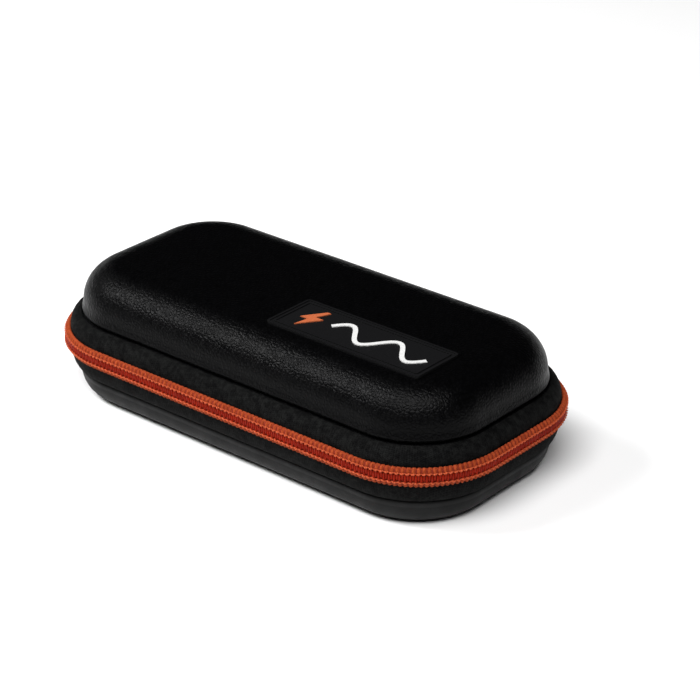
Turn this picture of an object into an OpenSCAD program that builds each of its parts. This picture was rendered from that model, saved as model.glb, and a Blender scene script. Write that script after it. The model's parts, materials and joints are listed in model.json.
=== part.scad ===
// Zip-up moulded hard case for a hand-held circuit breaker finder.
// Origin: middle of the flat underside. +X along the length, -Y the front, +Z up.
// Every moulded piece is one section, given as [inset, height] points, swept round the case's outline.
// Inset is measured inwards from the outermost line, which is the face of the zip's coil.
// Height is measured from the zip's parting plane, upwards for the lid and downwards for the base.

/* [Case] */
// Overall length, over the zip
case_l = 165.1; // [140:0.1:190]
// Overall width, from the zip in front to the hinge strip behind
case_w = 83.8; // [76:0.1:110]
// Overall height, to the label's raised border
case_h = 43.2; // [38:0.1:60]
// Height of the zip's parting plane above the underside
zip_z = 19; // [17:0.1:21]
// Radius of the outline's corners, over the zip
corner_r = 30; // [28:0.5:34]
// Thickness of the moulded foam walls
wall_t = 3; // [2:0.1:3.5]
// Thickness of the cloth linings
lining_t = 0.6; // [0.4:0.1:0.8]

/* [Zip] */
// Half the width of the closed coil chain
coil_half = 3.2; // [3:0.1:3.4]
// How far the coil stands out from its tape
coil_t = 2; // [1.6:0.1:2.2]
// Thickness of the woven zip tape
tape_t = 0.6; // [0.4:0.1:0.8]
// Half the gap between the two tapes
tape_gap = 0.7; // [0.6:0.05:0.9]
// Where the slider is parked, round the rear left corner
slider_angle = 140; // [136:1:150]
// Length of the slider
slider_l = 10; // [8:0.5:11]
// How far the pull reaches below its bail
pull_l = 15; // [12:0.5:16]

/* [Lid] */
// Inset of the seam between the lid's tape and its moulding
lid_seam_inset = 5.6; // [5:0.1:6.5]
// Height of that seam above the zip
lid_seam_h = 8; // [7:0.1:9]
// Radius of the lid's top edge
lid_edge_r = 12; // [9:0.5:13]
// Inset of the lid's upright wall
lid_wall_inset = 6.4; // [6:0.1:7]

/* [Base] */
// Inset of the seam between the base's tape and its moulding
base_seam_inset = 4.4; // [4:0.1:5.5]
// Depth of that seam below the zip
base_seam_h = 9.4; // [8.5:0.1:10]
// Radius of the base's bottom edge
base_edge_r = 7; // [5:0.5:8]
// Inset of the base's upright wall
base_wall_inset = 5; // [4.5:0.1:6]

/* [Label] */
// Length of the moulded rubber label
label_l = 58; // [40:1:64]
// Width of the label
label_w = 20; // [14:1:21]
// Centre of the label, along the case
label_x = 31.5; // [25:0.5:32]
// Centre of the label, across the case
label_y = -12.2; // [-13:0.1:-9]
// Thickness of the label without its border
label_t = 0.5; // [0.4:0.1:0.8]
// Height of the border and the emblems above the label
label_relief = 0.3; // [0.2:0.05:0.5]

/* [Inside] */
// Width of the elastic strap across the base
strap_w = 25; // [15:1:30]
// Thickness of the strap
strap_t = 1; // [0.8:0.1:1.5]
// Depth of the strap's underside below the zip
strap_h = 9.6; // [9:0.1:10]
// Thickness of the lid's net
net_t = 0.4; // [0.3:0.1:0.6]
// Distance from the centre line to the net's open edge, towards the front
net_edge_y = 14; // [5:1:20]

/* [Hidden] */

// The hinge strip's thickness, and the inset of its outer face
hinge_t = 0.5;
hinge_inset = coil_t - hinge_t;

// Outline: the coil stops short of the hinge, so the outline runs behind the strip
corner_steps = 8;
reach_x = case_l / 2 - corner_r;
reach_y = (case_w + hinge_inset) / 2 - corner_r;
middle_y = hinge_inset / 2;

// Heights above and below the zip's parting plane
lid_h = case_h - zip_z - label_t - label_relief;
base_h = zip_z;
seat_z = zip_z + lid_h;

// The tape curves from upright beside the coil to level at the seam
band_angles = [0, 20, 35, 50, 70, 90];
rim_step = 2;

// Slider, measured outwards from the face of the coil
plate_gap = 0.35;
plate_t = 1.2;
back_gap = 3.4;
back_t = 1;
lip_u = -0.9;
lip_v = 3.5;
plate_v = 4.3;
mouth_v = 4.9;
post_t = [-4.6, -1.4];
post_v = 0.55;
bail_u = 3.4;
bail_r = 0.6;
bail_t = 3;
eye_r = 1.5;
eye_clearance = 0.08;
eye_w = 4.4;
pull_w = 7;
pull_t = 2.6;
stop_l = 2.2;

// Angles round the outline, counter-clockwise from the right-hand end
mouth_span = 10;
coil_start = slider_angle - mouth_span - 2;
coil_end = 360 + 62;
split_from = slider_angle - 4;
split_to = slider_angle - 1.5;
split_lift = 0.8;
hinge_start = 69;
hinge_end = 120;

// --- Outline and sections ---

function unit(a) = [cos(a), sin(a)];

// Centre of corner k, counted counter-clockwise from the rear right one
function corner(k) = [
    (k % 4 == 0 || k % 4 == 3 ? 1 : -1) * reach_x,
    middle_y + (k % 4 < 2 ? 1 : -1) * reach_y
];

// One stop on the outline: [corner centre, outward direction, lift away from the parting plane]
function stop_at(a, lift = 0) = [corner(floor(a / 90)), unit(a), lift];

// All round the outline
function whole() = [
    for (k = [0:3]) for (i = [0:corner_steps]) [corner(k), unit(90 * (k + i / corner_steps)), 0]
];

// Part of the way round, from angle a to angle b, through the same angles as all the way round
function stretch(a, b) = [
    for (k = [floor(a / 90):ceil(b / 90) - 1])
        let (step = 90 / corner_steps, low = max(a, 90 * k), high = min(b, 90 * (k + 1)))
            for (angle = [low, for (i = [floor(low / step) + 1:ceil(high / step) - 1]) i * step, high])
                [corner(k), unit(angle), 0]
];

function on_outline(s, inset) = s[0] + (corner_r - inset) * s[1];

// A section's points at every stop, for a lid piece (side 1) or a base piece (side -1)
function swept(stops, section, side) = [
    for (p = section) for (s = stops)
        let (q = on_outline(s, p[0])) [q[0], q[1], zip_z + side * (p[1] + s[2])]
];

function row(j, n) = [for (i = [0:n - 1]) j * n + i];
function reversed(list) = [for (i = [len(list) - 1:-1:0]) list[i]];
function turned(faces, side) = side > 0 ? faces : [for (f = faces) reversed(f)];

// Skin between neighbouring section points, from the first to the last
function skin(m, n, closed_section, closed_path) = [
    for (j = [0:m - (closed_section ? 1 : 2)]) for (i = [0:n - (closed_path ? 1 : 2)])
        let (up = ((j + 1) % m) * n, right = (i + 1) % n)
            [j * n + i, j * n + right, up + right, up + i]
];

// A closed section carried all the way round
module hoop(section, side) {
    stops = whole();
    polyhedron(swept(stops, section, side), turned(skin(len(section), len(stops), true, true), side));
}

// A closed section carried along part of the outline, with flat ends
module band(section, side, stops) {
    n = len(stops);
    m = len(section);
    first_end = [for (j = [0:m - 1]) j * n];
    last_end = [for (j = [m - 1:-1:0]) j * n + n - 1];
    polyhedron(
        swept(stops, section, side),
        turned(concat(skin(m, n, true, false), [first_end, last_end]), side)
    );
}

// An open section that starts and ends in a flat face across the case
module bowl(section, side) {
    stops = whole();
    n = len(stops);
    m = len(section);
    polyhedron(
        swept(stops, section, side),
        turned(concat(skin(m, n, false, true), [reversed(row(0, n)), row(m - 1, n)]), side)
    );
}

// Everything inside the outline at this inset
module prism(inset) {
    linear_extrude(case_h) polygon([for (s = whole()) on_outline(s, inset)]);
}

// The tape's curve from beside the coil up to the seam, moved inwards by t
function tape_curve(half, t) =
    let (seam = half[1], seam_h = half[2]) [
        for (a = band_angles)
            [seam - (seam - coil_t - t) * cos(a), coil_half + (seam_h - coil_half - t) * sin(a)]
    ];

// A round edge from the flat face out to the upright wall, moved inwards by t
function edge_curve(half, t) =
    let (wall = half[0], h = half[3], r = half[4])
        [for (a = [90:-15:0]) [wall + r - (r - t) * cos(a), h - r + (r - t) * sin(a)]];

// The seam groove and the foot of the moulding above it
function foot(half) =
    let (wall = half[0], seam = half[1], seam_h = half[2]) [
        [wall - 0.5, seam_h + 1.6],
        [wall - 0.4, seam_h + 0.9],
        [max(seam, wall) + 0.4, seam_h + 0.2],
    ];

// Where the wall's inner face, t further in, meets the rim, and where it turns upright
function rim_point(half, t) = tape_curve(half, tape_t)[rim_step] + [wall_t + t, 0];
function shoulder_point(half, t) = [half[0] + wall_t + t, half[2] + 1];

// Both faces of the foam moulding, outer face first
function shell_section(half) = concat(
    edge_curve(half, 0),
    foot(half),
    reversed([for (i = [rim_step:len(band_angles) - 1]) tape_curve(half, tape_t)[i]]),
    [rim_point(half, 0), shoulder_point(half, 0)],
    reversed(edge_curve(half, wall_t))
);

// Both faces of the lining
function lining_section(half) = concat(
    edge_curve(half, wall_t),
    [shoulder_point(half, 0), rim_point(half, 0)],
    [rim_point(half, lining_t), shoulder_point(half, lining_t)],
    reversed(edge_curve(half, wall_t + lining_t))
);

// Tape from the gap beside the coil to the seam
function tape_section(half) = concat(
    reversed(tape_curve(half, 0)),
    [[coil_t, tape_gap], [coil_t + tape_t, tape_gap]],
    tape_curve(half, tape_t)
);

// Half of the closed coil chain, seen end on, just clear of the tape that it is sewn to
coil_seat = coil_t - 0.1;
coil_section = [
    [coil_seat, coil_half], [1, coil_half], [0.4, 2.8], [0, 1.9], [0, 0.7], [0.3, 0.1], [coil_seat, 0.1],
];

// Cloth folded round the rim, over the edges of the foam and the lining
function binding_section(half) =
    let (
        outer = rim_point(half, -wall_t),
        inner = rim_point(half, lining_t),
        lap = inner + (shoulder_point(half, lining_t) - inner) * 0.4
    ) [
        outer + [0.06, 0], outer + [0.06, -lining_t], inner + [0.35, -lining_t],
        lap + [0.45, -0.35], lap, inner
    ];

// Each half of the case: [wall inset, seam inset, seam height, full height, edge radius]
lid_half = [lid_wall_inset, lid_seam_inset, lid_seam_h, lid_h, lid_edge_r];
base_half = [base_wall_inset, base_seam_inset, base_seam_h, base_h, base_edge_r];

// --- Base ---

module base_shell() {
    color("#2b2b2d") bowl(shell_section(base_half), -1);
}

module base_lining() {
    color("#1f1f21") bowl(lining_section(base_half), -1);
}

module base_edge_binding() {
    color("#151517") hoop(binding_section(base_half), -1);
}

module base_zip_tape() {
    color("#18181a") hoop(tape_section(base_half), -1);
}

// The coil parts round the slider's post, then runs on to the stops
module zip_coil(side) {
    mouth = [
        for (a = [coil_start, split_from, split_to])
            stop_at(a, a == split_to ? 0 : split_lift)
    ];
    color("#b5391c") band(coil_section, side, concat(mouth, stretch(slider_angle, coil_end)));
}

module base_zip_coil() { zip_coil(-1); }

// A crimped stop on one tape, beyond the coil's last turn
module top_stop(side) {
    half_turn = stop_l / corner_r * 90 / PI;
    low = coil_half - 2.2;
    high = coil_half + 0.8;
    section = [[coil_seat, high], [0.7, high], [0.7, low], [coil_seat, low]];
    centre = coil_start - half_turn - 0.3;
    color("#1c1c1e")
        band(section, side, [for (a = [centre - half_turn, centre + half_turn]) stop_at(a)]);
}

module base_top_stop() { top_stop(-1); }

module zip_bottom_stop() {
    turn = 1.3 * stop_l / corner_r * 180 / PI;
    section = [[coil_seat, coil_half], [0.5, coil_half], [0.5, 0.15], [coil_seat, 0.15]];
    color("#1c1c1e")
        band(section, -1, [for (a = [coil_end + 0.3, coil_end + 0.3 + turn]) stop_at(a)]);
}

strap_inset = shoulder_point(base_half, lining_t)[0] + 0.05;

module elastic_strap() {
    color("#26262a")
        intersection() {
            translate([-strap_w / 2, -case_w, zip_z - strap_h]) cube([strap_w, 2 * case_w, strap_t]);
            prism(strap_inset);
        }
}

// Two zigzag-sewn patches at each end of the strap
module strap_bar_tacks() {
    patch = [8, 2, 0.3];
    reach = reach_y + corner_r - strap_inset - 3;
    color("#333338")
        for (x = [-1, 1]) for (y = [-1, 1])
            translate([
                x * strap_w / 4, middle_y + y * reach, zip_z - strap_h + strap_t + patch[2] / 2
            ])
                cube(patch, center = true);
}

// Woven strip sewn over both tapes along the back
module hinge_strip() {
    cover = tape_curve(lid_half, -hinge_t);
    seat = tape_curve(lid_half, -0.05);
    upper = [for (i = [0:3]) cover[i]];
    section = concat(
        reversed(upper), [for (p = upper) [p[0], -p[1]]],
        [for (i = [3:-1:0]) [seat[i][0], -seat[i][1]]], [for (i = [0:3]) seat[i]]
    );
    color("#141416") band(section, 1, stretch(hinge_start, hinge_end));
}

// Cloth that joins the two linings behind the hinge
module hinge_lining() {
    outer = coil_t + tape_t + 0.3;
    half = 4.6;
    section = [[outer, half], [outer, -half], [outer + 0.5, -half], [outer + 0.5, half]];
    color("#1f1f21") band(section, 1, [[corner(0), unit(90), 0], [corner(1), unit(90), 0]]);
}

// --- Lid ---

module lid_shell() {
    color("#1a1a1b") bowl(shell_section(lid_half), 1);
}

module lid_lining() {
    color("#1f1f21") bowl(lining_section(lid_half), 1);
}

module lid_edge_binding() {
    color("#151517") hoop(binding_section(lid_half), 1);
}

module lid_zip_tape() {
    color("#18181a") hoop(tape_section(lid_half), 1);
}

module lid_zip_coil() { zip_coil(1); }

module lid_top_stop() { top_stop(1); }

// The net lies across the lid just above the binding, and is open along its front edge
net_h = 7.4;
net_inset = 9.05;

module mesh_pocket() {
    color("#303034")
        intersection() {
            translate([-case_l / 2, -net_edge_y, zip_z + net_h]) cube([case_l, case_w, net_t]);
            prism(net_inset);
        }
}

module mesh_pocket_hem() {
    hem_w = 4;
    hem_t = 1.2;
    color("#141416")
        intersection() {
            translate([-case_l / 2, -net_edge_y - hem_w, zip_z + net_h + net_t / 2 - hem_t / 2])
                cube([case_l, hem_w, hem_t]);
            prism(net_inset + 0.3);
        }
}

// --- Label ---

module rounded(size, r) {
    square([size[0] - 2 * r, size[1]], center = true);
    square([size[0], size[1] - 2 * r], center = true);
    for (x = [-1, 1]) for (y = [-1, 1])
        translate([x * (size[0] / 2 - r), y * (size[1] / 2 - r)]) circle(r, $fn = 32);
}

module on_label(z, t) {
    translate([label_x, label_y, seat_z + z]) linear_extrude(t) children();
}

module label_plate() {
    color("#161617") on_label(0, label_t) rounded([label_l, label_w], 1.2);
}

module label_frame(inset, w, r) {
    difference() {
        rounded([label_l - 2 * inset, label_w - 2 * inset], r);
        rounded([label_l - 2 * (inset + w), label_w - 2 * (inset + w)], max(r - w, 0.2));
    }
}

module label_border() {
    color("#202022") on_label(label_t, label_relief) {
        label_frame(0, 0.7, 1.2);
        label_frame(1.5, 0.6, 0.8);
    }
}

// A plain lightning bolt
module label_emblem() {
    bolt = [[1.2, 6.2], [-3.6, -0.9], [-0.7, -0.9], [-1.6, -6.2], [3.6, 1.3], [0.5, 1.3], [2.6, 6.2]];
    color("#d9532c") on_label(label_t, label_relief)
        translate([-label_l / 2 + 9.5, 0]) polygon(bolt);
}

// A sine wave, as alternating current is drawn
module label_wave() {
    wave_l = 36;
    cycles = 2;
    height = 4.2;
    line_w = 1.5;
    steps = 64;
    curve = [for (i = [0:steps])
        let (a = 360 * cycles * i / steps, x = wave_l * (i / steps - 0.5),
            slope = height * cos(a) * 2 * PI * cycles / wave_l)
            [[x, height * sin(a)], [-slope, 1] / norm([slope, 1])]];
    color("#f2f2f2") on_label(label_t, label_relief)
        translate([label_l / 2 - wave_l / 2 - 4.5, 0])
            polygon(concat(
                [for (p = curve) p[0] + p[1] * line_w / 2],
                reversed([for (p = curve) p[0] - p[1] * line_w / 2])
            ));
}

// --- Slider and pull ---

// Stands a shape drawn round the slider at its place: X outwards, Y along the zip, Z up
module at_slider() {
    translate([corner(1)[0], corner(1)[1], zip_z])
        rotate(slider_angle) translate([corner_r, 0, 0]) children();
}

// A plate across the zip, with its wide end at the slider's mouth
module slider_plate(u, t, mouth, tail) {
    half = slider_l / 2;
    translate([u, 0, 0]) rotate([90, 0, 90]) linear_extrude(t)
        polygon([
            [-half, -mouth], [-1.5, -tail], [half - 1, -tail], [half, -tail + 1],
            [half, tail - 1], [half - 1, tail], [-1.5, tail], [-half, mouth],
        ]);
}

module slider_body() {
    color("#3a3a3d") at_slider() union() {
        slider_plate(plate_gap, plate_t, mouth_v, plate_v);
        slider_plate(-back_gap - back_t, back_t, plate_v, plate_v);
        translate([-back_gap - back_t / 2, post_t[0], -post_v])
            cube([back_gap + plate_gap + back_t, post_t[1] - post_t[0], 2 * post_v]);
        for (side = [-1, 1])
            translate([lip_u, -0.6, side > 0 ? lip_v : -plate_v])
                cube([plate_gap - lip_u + plate_t / 2, slider_l / 2 - 0.4, plate_v - lip_v]);
    }
}

// A bridge along the slider
module slider_bail() {
    foot_u = plate_gap + plate_t;
    color("#3a3a3d") at_slider() union() {
        translate([bail_u, -bail_t - bail_r, 0]) rotate([-90, 0, 0])
            cylinder(h = 2 * (bail_t + bail_r), r = bail_r, $fn = 32);
        for (t = [-1, 1])
            translate([foot_u, t * bail_t, 0]) rotate([0, 90, 0])
                cylinder(h = bail_u - foot_u, r = bail_r, $fn = 32);
    }
}

module pull_outline(w, top, bottom, r) {
    translate([-w / 2, -bottom + r]) square([w, bottom - top - r]);
    translate([-w / 2 + r, -bottom]) square([w - 2 * r, r + 0.1]);
    for (x = [-1, 1]) translate([x * (w / 2 - r), -bottom + r]) circle(r, $fn = 32);
}

// Metal link: an eye round the bail and a flat tongue below it
tongue_t = 1.2;
tongue_l = 9;
grip_top = 5.4;

module tongue() {
    translate([bail_u - tongue_t / 2, 0, 0]) rotate([90, 0, 90]) linear_extrude(tongue_t)
        pull_outline(eye_w, 0, tongue_l, 1);
}

module pull_tab() {
    color("#4a4a4e") at_slider() difference() {
        union() {
            tongue();
            translate([bail_u, -eye_w / 2, 0]) rotate([-90, 0, 0])
                cylinder(h = eye_w, r = eye_r, $fn = 48);
        }
        translate([bail_u, -eye_w, 0]) rotate([-90, 0, 0])
            cylinder(h = 2 * eye_w, r = bail_r + eye_clearance, $fn = 48);
    }
}

// Rubber grip moulded over the tongue
module pull_grip() {
    color("#1d1d1f") at_slider() difference() {
        translate([bail_u - pull_t / 2, 0, 0]) rotate([90, 0, 90]) linear_extrude(pull_t)
            pull_outline(pull_w, grip_top, pull_l, 2.4);
        tongue();
    }
}

base_shell();
base_lining();
base_edge_binding();
base_zip_tape();
base_zip_coil();
base_top_stop();
zip_bottom_stop();
elastic_strap();
strap_bar_tacks();
hinge_strip();
hinge_lining();
lid_shell();
lid_lining();
lid_edge_binding();
lid_zip_tape();
lid_zip_coil();
lid_top_stop();
mesh_pocket();
mesh_pocket_hem();
label_plate();
label_border();
label_emblem();
label_wave();
slider_body();
slider_bail();
pull_tab();
pull_grip();
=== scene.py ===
"""Looks of the zip-up hard case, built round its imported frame.

Lengths are in millimetres in the section tables and become metres when a mesh is made. A section is a list
of (inset, height) points: inset is measured inwards from the coil's face all round the outline, and height
upwards from the zip's parting plane for the lid, or downwards for the base.
"""

import json
import math

import bpy
import numpy as np
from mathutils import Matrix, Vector, noise


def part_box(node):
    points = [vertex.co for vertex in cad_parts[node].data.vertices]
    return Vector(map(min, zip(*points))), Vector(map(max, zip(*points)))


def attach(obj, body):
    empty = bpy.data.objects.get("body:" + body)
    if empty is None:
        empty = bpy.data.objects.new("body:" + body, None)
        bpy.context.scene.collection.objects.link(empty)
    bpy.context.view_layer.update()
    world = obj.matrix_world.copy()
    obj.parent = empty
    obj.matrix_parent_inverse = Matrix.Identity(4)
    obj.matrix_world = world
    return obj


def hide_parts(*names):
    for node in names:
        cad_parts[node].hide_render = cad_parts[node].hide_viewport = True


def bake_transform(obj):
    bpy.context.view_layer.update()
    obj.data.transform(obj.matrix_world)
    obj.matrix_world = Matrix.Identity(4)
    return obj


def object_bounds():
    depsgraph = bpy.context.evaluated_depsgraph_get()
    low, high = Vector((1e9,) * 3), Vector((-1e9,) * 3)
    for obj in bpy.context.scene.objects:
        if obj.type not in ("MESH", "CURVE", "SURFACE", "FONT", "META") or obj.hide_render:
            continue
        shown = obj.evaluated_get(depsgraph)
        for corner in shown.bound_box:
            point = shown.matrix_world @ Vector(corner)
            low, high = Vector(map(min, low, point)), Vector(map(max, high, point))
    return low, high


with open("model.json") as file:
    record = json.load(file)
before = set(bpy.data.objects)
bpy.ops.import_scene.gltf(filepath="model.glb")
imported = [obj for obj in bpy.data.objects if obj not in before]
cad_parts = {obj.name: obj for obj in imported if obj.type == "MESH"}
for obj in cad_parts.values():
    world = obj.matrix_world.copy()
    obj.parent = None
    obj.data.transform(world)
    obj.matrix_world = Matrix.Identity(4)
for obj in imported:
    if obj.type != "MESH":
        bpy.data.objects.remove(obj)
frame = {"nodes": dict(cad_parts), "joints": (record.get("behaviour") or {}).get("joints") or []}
CAD_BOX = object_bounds()
MM = 0.001


def joint(name):
    return next(j for j in frame["joints"] if j["name"] == name)


def mm(values):
    return [v / MM for v in values]


# --- Sizes from the frame -------------------------------------------------------------------------------

COIL_LOW, COIL_HIGH = (mm(corner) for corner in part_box("lid_zip_coil"))
PIVOT = mm(joint("slider_travel")["pos_m"])
BAIL = mm(joint("pull_swing")["pos_m"])
CORNER_R = COIL_HIGH[0] - abs(PIVOT[0])
REACH_X = abs(PIVOT[0])
REACH_Y = (PIVOT[1] - CORNER_R - COIL_LOW[1]) / 2
MIDDLE_Y = PIVOT[1] - REACH_Y
ZIP_Z = PIVOT[2]
SEAT_Z = mm(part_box("label_plate")[0])[2]
SLIDER_ANGLE = math.degrees(math.atan2(BAIL[1] - PIVOT[1], BAIL[0] - PIVOT[0]))

# Each half of the case, as part.scad has it: wall and seam are insets, seam_h and h heights from the zip
LID = dict(body="lid", side=1, wall=6.4, seam=5.6, seam_h=8.0, h=SEAT_Z - ZIP_Z, edge_r=12.0)
BASE = dict(body="base", side=-1, wall=5.0, seam=4.4, seam_h=9.4, h=ZIP_Z, edge_r=7.0)
HALVES = (LID, BASE)

# Thicknesses, half the gap between the two tapes, and half the width of the closed chain
WALL_T = 3.0
LINING_T = 0.6
TAPE_T = 0.6
TAPE_GAP = 0.7
COIL_T = 2.0
COIL_HALF = 3.2

# Degrees: how far round its curve the tape meets the rim, then places round the outline, from the right end
RIM_ANGLE = 35
COIL_START = SLIDER_ANGLE - 12
COIL_END = 360 + 62
HINGE_START = 69
HINGE_END = 120

# Where the slider's post parts the chain: degrees from the chain's start, and how far each half lifts
SPLIT_FULL = 8
SPLIT_NONE = 10.5
SPLIT_LIFT = 0.8

# The coil's wire, bare at the heads and thick with thread above WRAP_V. Heights count towards the tape
PITCH = 1.59
CHAIN_MARGIN = 0.6
TURN_INSET = 1.08
TURN_HALF_T = 0.5
WIRE_R = 0.37
WRAPPED_R = 0.56
TURN_POINTS = 16
TURN_SQUARENESS = 2.7
HEAD_V = -0.85
TAIL_V = COIL_HALF - WRAPPED_R
WRAP_V = 1.35

# Spacing of the rings along a swept piece, round the corners and on the straights
ARC_STEP = 1.6
STRAIGHT_STEP = 3.0


# --- The outline ----------------------------------------------------------------------------------------

def corner(k):
    """Centre of corner k, counter-clockwise from the rear right one."""
    return (
        REACH_X if k % 4 in (0, 3) else -REACH_X,
        MIDDLE_Y + (REACH_Y if k % 4 < 2 else -REACH_Y),
    )


class Route:
    """A way along the outline, given where its arcs and straights meet.

    A row holds the distance so far, the x and y that the outline turns about there, and the outward angle.
    """

    def __init__(self, rows, closed=False):
        self.rows = np.array(rows)
        self.length = self.rows[-1, 0]
        self.closed = closed

    def at(self, s):
        """Arrays of skeleton x, y and outward angle at distances s."""
        return [np.interp(s, self.rows[:, 0], self.rows[:, i]) for i in (1, 2, 3)]

    def stops(self, arc_step, straight_step):
        """Distances to put rings at, closer together round the corners. A closed way leaves out its end."""
        found = []
        for (s0, *_, a0), (s1, *_, a1) in zip(self.rows[:-1], self.rows[1:]):
            step = arc_step if a1 > a0 else straight_step
            n = max(1, round((s1 - s0) / step))
            found += [s0 + (s1 - s0) * i / n for i in range(n)]
        return np.array(found if self.closed else [*found, self.length])

    def points(self, s, inset, z):
        """Points at distances s, insets and heights above the ground, as an array of rows."""
        x, y, a = self.at(s)
        r = CORNER_R - np.asarray(inset)
        return np.stack([x + r * np.cos(a), y + r * np.sin(a), np.broadcast_to(z, np.shape(x + r))], -1)


def around(a, b, closed=False):
    """The way from angle a to angle b."""
    rows = []
    length = 0.0
    for k in range(math.floor(a / 90), math.ceil(b / 90)):
        low, high = max(a, 90 * k), min(b, 90 * (k + 1))
        x, y = corner(k)
        if rows:
            length += math.dist((x, y), rows[-1][1:3])
        rows.append((length, x, y, math.radians(low)))
        length += math.radians(high - low) * CORNER_R
        rows.append((length, x, y, math.radians(high)))
    if closed:
        x, y = corner(math.floor(a / 90))
        length += math.dist((x, y), rows[-1][1:3])
        rows.append((length, x, y, rows[-1][3]))
    return Route(rows, closed)


WHOLE = around(90, 450, closed=True)
CHAIN = around(COIL_START, COIL_END)


# --- Meshes ---------------------------------------------------------------------------------------------

def mesh_object(name, points, faces, uvs=None, sharp=40):
    """An object from points in millimetres. uvs is one pair for each corner of each face, in millimetres."""
    mesh = bpy.data.meshes.new(name)
    mesh.from_pydata((np.asarray(points) * MM).tolist(), [], faces)
    if uvs is not None:
        layer = mesh.uv_layers.new(name="cloth")
        layer.data.foreach_set("uv", np.asarray(uvs, np.float32).ravel())
    mesh.shade_smooth()
    mesh.set_sharp_from_angle(angle=math.radians(sharp))
    mesh.validate()
    piece = bpy.data.objects.new(name, mesh)
    bpy.context.scene.collection.objects.link(piece)
    return piece


def merged(parts):
    """One (points, faces, uvs) from several."""
    points, faces, uvs, start = [], [], [], 0
    for p, f, uv in parts:
        points.append(np.asarray(p))
        faces += [[i + start for i in face] for face in f]
        uvs.append(np.asarray(uv).reshape(-1, 2))
        start += len(p)
    return np.concatenate(points), faces, np.concatenate(uvs)


def along(section):
    """Running length along a section's points."""
    steps = np.linalg.norm(np.diff(np.asarray(section, float), axis=0), axis=1)
    return np.concatenate([[0], np.cumsum(steps)])


def sweep(route, section, side=1, closed_section=True, arc=ARC_STEP, straight=STRAIGHT_STEP, shape=None):
    """Carries a section along a route. Returns (points, faces, uvs). A closed way joins up with itself.

    shape(s, inset, height) may return changed insets and heights, as arrays of one row per section point.
    """
    s = route.stops(arc, straight)
    section = np.asarray(section, float)
    m, n = len(section), len(s)
    inset = np.repeat(section[:, :1], n, 1)
    height = np.repeat(section[:, 1:2], n, 1)
    if shape:
        inset, height = shape(s[None, :] + 0 * inset, inset, height)
    points = route.points(s[None, :] + 0 * inset, inset, ZIP_Z + side * height).reshape(-1, 3)
    v = along([*section, section[0]])
    ends = np.append(s[1:], route.length)
    faces, uvs = [], []
    for j in range(m if closed_section else m - 1):
        up = ((j + 1) % m) * n
        for i in range(n if route.closed else n - 1):
            right = (i + 1) % n
            face = [j * n + i, j * n + right, up + right, up + i]
            uv = [(s[i], v[j]), (ends[i], v[j]), (ends[i], v[j + 1]), (s[i], v[j + 1])]
            faces.append(face if side < 0 else face[::-1])
            uvs += uv if side < 0 else uv[::-1]
    if closed_section and not route.closed:
        for i, order in ((0, 1), (n - 1, -1)):
            face = [j * n + i for j in range(m)][::order * side]
            faces.append(face)
            uvs += [(s[i], v[f // n]) for f in face]
    return points, faces, uvs


def capped(part, rows, side):
    """Closes the first and last ring of a swept open section of so many rows with flat faces."""
    points, faces, uvs = part
    n = len(points) // rows
    for start, order in ((0, 1), ((rows - 1) * n, -1)):
        face = list(range(start, start + n))[::order * side]
        faces.append(face)
        uvs += [tuple(points[f][:2]) for f in face]
    return points, faces, uvs


def ring_faces(rows, sides):
    """Faces of a tube made of rings of points, with its two ends closed."""
    faces = []
    for start in range(0, (rows - 1) * sides, sides):
        for j in range(sides):
            k = (j + 1) % sides
            faces.append([start + j, start + sides + j, start + sides + k, start + k])
    return [*faces, list(range(sides)), list(range((rows - 1) * sides, rows * sides))[::-1]]


def ring_uvs(marks, sides, side_width=1):
    """The cloth map of those faces, with one mark for each ring along it."""
    uvs = []
    for s0, s1 in zip(marks[:-1], marks[1:]):
        for j in range(sides):
            low, high = j * side_width, (j + 1) * side_width
            uvs += [(s0, low), (s1, low), (s1, high), (s0, high)]
    return uvs + [(0, 0)] * (2 * sides)


def tube(path, radius, sides=8, marks=None):
    """A round tube along points in millimetres. radius may vary from point to point.

    Its cloth map runs along by length, or by marks where they are given.
    """
    path = np.asarray(path, float)
    n = len(path)
    ahead = np.roll(path, -1, 0) - np.roll(path, 1, 0)
    ahead[0] = path[1] - path[0]
    ahead[-1] = path[-1] - path[-2]
    ahead /= np.linalg.norm(ahead, axis=1)[:, None]
    side = np.zeros_like(path)
    last = np.cross(ahead[0], (0.0, 0.0, 1.0))
    if np.linalg.norm(last) < 0.1:
        last = np.cross(ahead[0], (1.0, 0.0, 0.0))
    for i in range(n):
        last = last - ahead[i] * (last @ ahead[i])
        last /= np.linalg.norm(last)
        side[i] = last
    other = np.cross(ahead, side)
    turn = np.arange(sides) * 2 * math.pi / sides
    r = np.broadcast_to(np.asarray(radius, float), (n,))[:, None, None]
    ring = side[:, None] * np.cos(turn)[None, :, None] + other[:, None] * np.sin(turn)[None, :, None]
    points = (path[:, None] + r * ring).reshape(-1, 3)
    return points, ring_faces(n, sides), ring_uvs(along(path) if marks is None else marks, sides)


def sewn_line(route, at, toward):
    """A line to sew along, at one (inset, height above the ground), that faces another."""
    def line(s):
        points = route.points(s, *at)
        normals = route.points(s, *toward) - points
        return points, normals / np.linalg.norm(normals, axis=1)[:, None]
    return line


def stitches(line, first, last, length, gap, radius, lift):
    """Separate stitches between two distances along a line. Each dips into the cloth at both ends."""
    sewn = []
    for i in range(int((last - first) / (length + gap))):
        points, normals = line(first + i * (length + gap) + length * np.linspace(0, 1, 7))
        rise = np.sin(np.linspace(0, math.pi, 7)) * (lift + radius) - radius
        sewn.append(tube(points + normals * rise[:, None], radius, 6))
    return merged(sewn)


# --- Materials ------------------------------------------------------------------------------------------

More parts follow.
